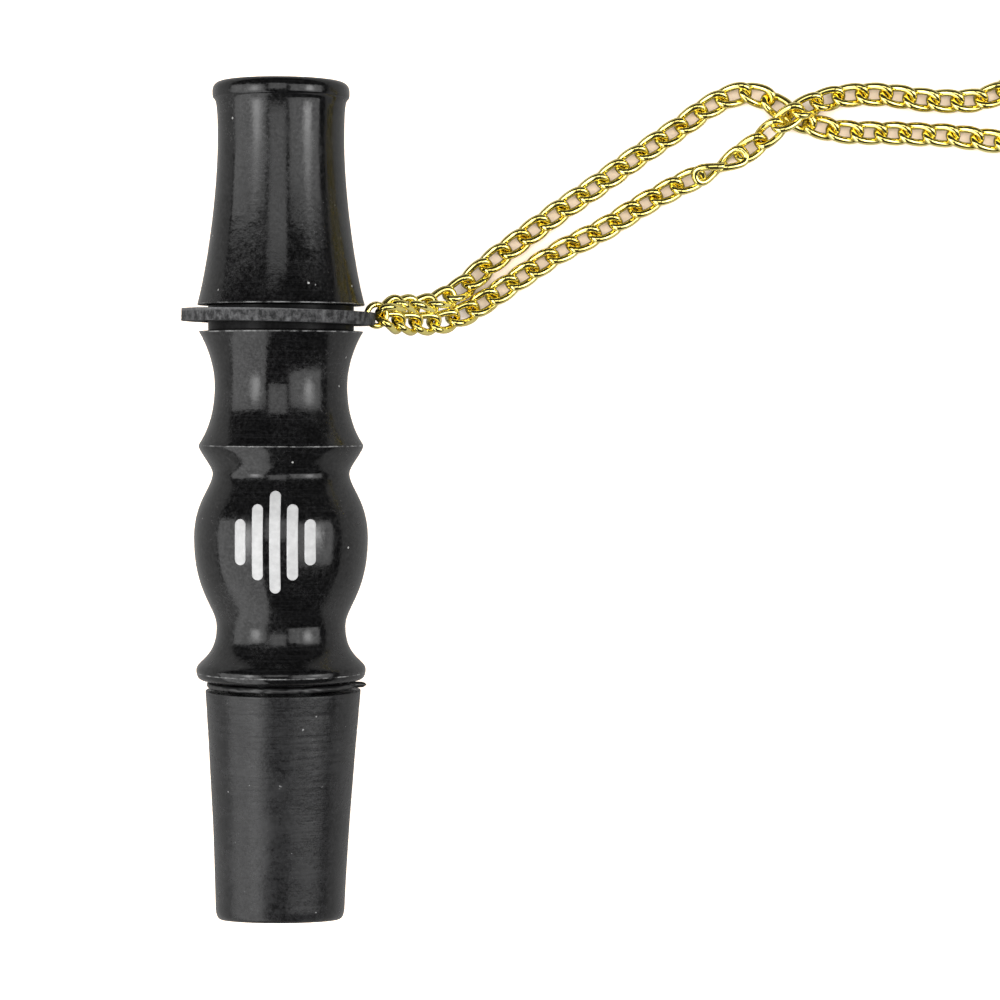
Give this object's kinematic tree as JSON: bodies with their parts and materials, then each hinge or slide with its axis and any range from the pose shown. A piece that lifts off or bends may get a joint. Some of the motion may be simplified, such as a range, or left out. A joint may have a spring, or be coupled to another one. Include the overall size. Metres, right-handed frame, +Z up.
{
  "type": "hose mouthpiece on a neck chain",
  "caption": "Turned gloss black hose mouthpiece lying on its side, with a matt tapered hose sleeve, a flat ring round its neck and a gold curb chain with a clasp.",
  "frame": {"origin": "middle of the mouthpiece's footprint, on the surface that it lies on, leaving out the chain and its jump ring", "axes": "+Y from the hose end towards the lip end, +Z up from the surface, +X towards the side that the chain leaves on"},
  "size_m": [0.1571, 0.11, 0.0223],
  "materials": {
    "black_gloss": "polished black ebonite or resin with faint dust and hairline scratches",
    "sleeve_rubber": "matt dark grey rubber with fine turning lines round it",
    "ring_rubber": "matt grey cut sheet with a slightly fibrous edge",
    "seal_rubber": "soft black seal rubber",
    "gold_chain": "bright gold-plated wire",
    "tie_cord": "flat black woven band"
  },
  "bodies": {
    "chain": {"chain_short_strand": "gold_chain", "chain_long_strand": "gold_chain", "chain_end_strand": "gold_chain", "chain_hank": "gold_chain", "hank_tie": "tie_cord", "clasp_ring": "gold_chain", "clasp_body": "gold_chain", "clasp_pin": "gold_chain", "end_ring": "gold_chain"},
    "ring": {"chain_ring": "ring_rubber", "jump_ring": "gold_chain"},
    "grip": {"grip_body": "black_gloss", "sleeve_seal": "seal_rubber"},
    "sleeve": {"taper_sleeve": "sleeve_rubber"},
    "tip_carrier": {"joint_seal": "seal_rubber"},
    "tip": {"mouth_tip": "black_gloss"},
    "gate": {"clasp_lever": "gold_chain"}
  },
  "joints": [
    {"name": "chain_swing", "type": "hinge", "parent": "chain", "child": "ring", "pos_m": [0.01212, 0.02142, 0.00992], "axis": [0, 0, 1], "range_deg": [-30, 30]},
    {"name": "mouthpiece_spin", "type": "hinge", "parent": "ring", "child": "grip", "pos_m": [0, 0.02138, 0.01116], "axis": [0, 0.9994, 0.034], "continuous": true},
    {"name": "sleeve_pull", "type": "slide", "parent": "grip", "child": "sleeve", "axis": [0, -0.9994, -0.034], "range_m": [0, 0.028]},
    {"name": "tip_lift", "type": "slide", "parent": "grip", "child": "tip_carrier", "axis": [0, 0.9994, 0.034], "range_m": [0, 0.0098]},
    {"name": "tip_unscrew", "type": "hinge", "parent": "tip_carrier", "child": "tip", "pos_m": [0, 0.01946, 0.0111], "axis": [0, 0.9994, 0.034], "range_deg": [0, 2340]},
    {"name": "clasp_open", "type": "hinge", "parent": "chain", "child": "gate", "pos_m": [0.0972, 0.04425, 0.00173], "axis": [0, 0, -1], "range_deg": [0, 24], "stiffness_Nm_per_rad": 0.001, "springref_deg": -11.46}
  ],
  "couplings": [
    {"joint": "tip_lift", "follows": "tip_unscrew", "m_per_rad": 0.00023873}
  ]
}
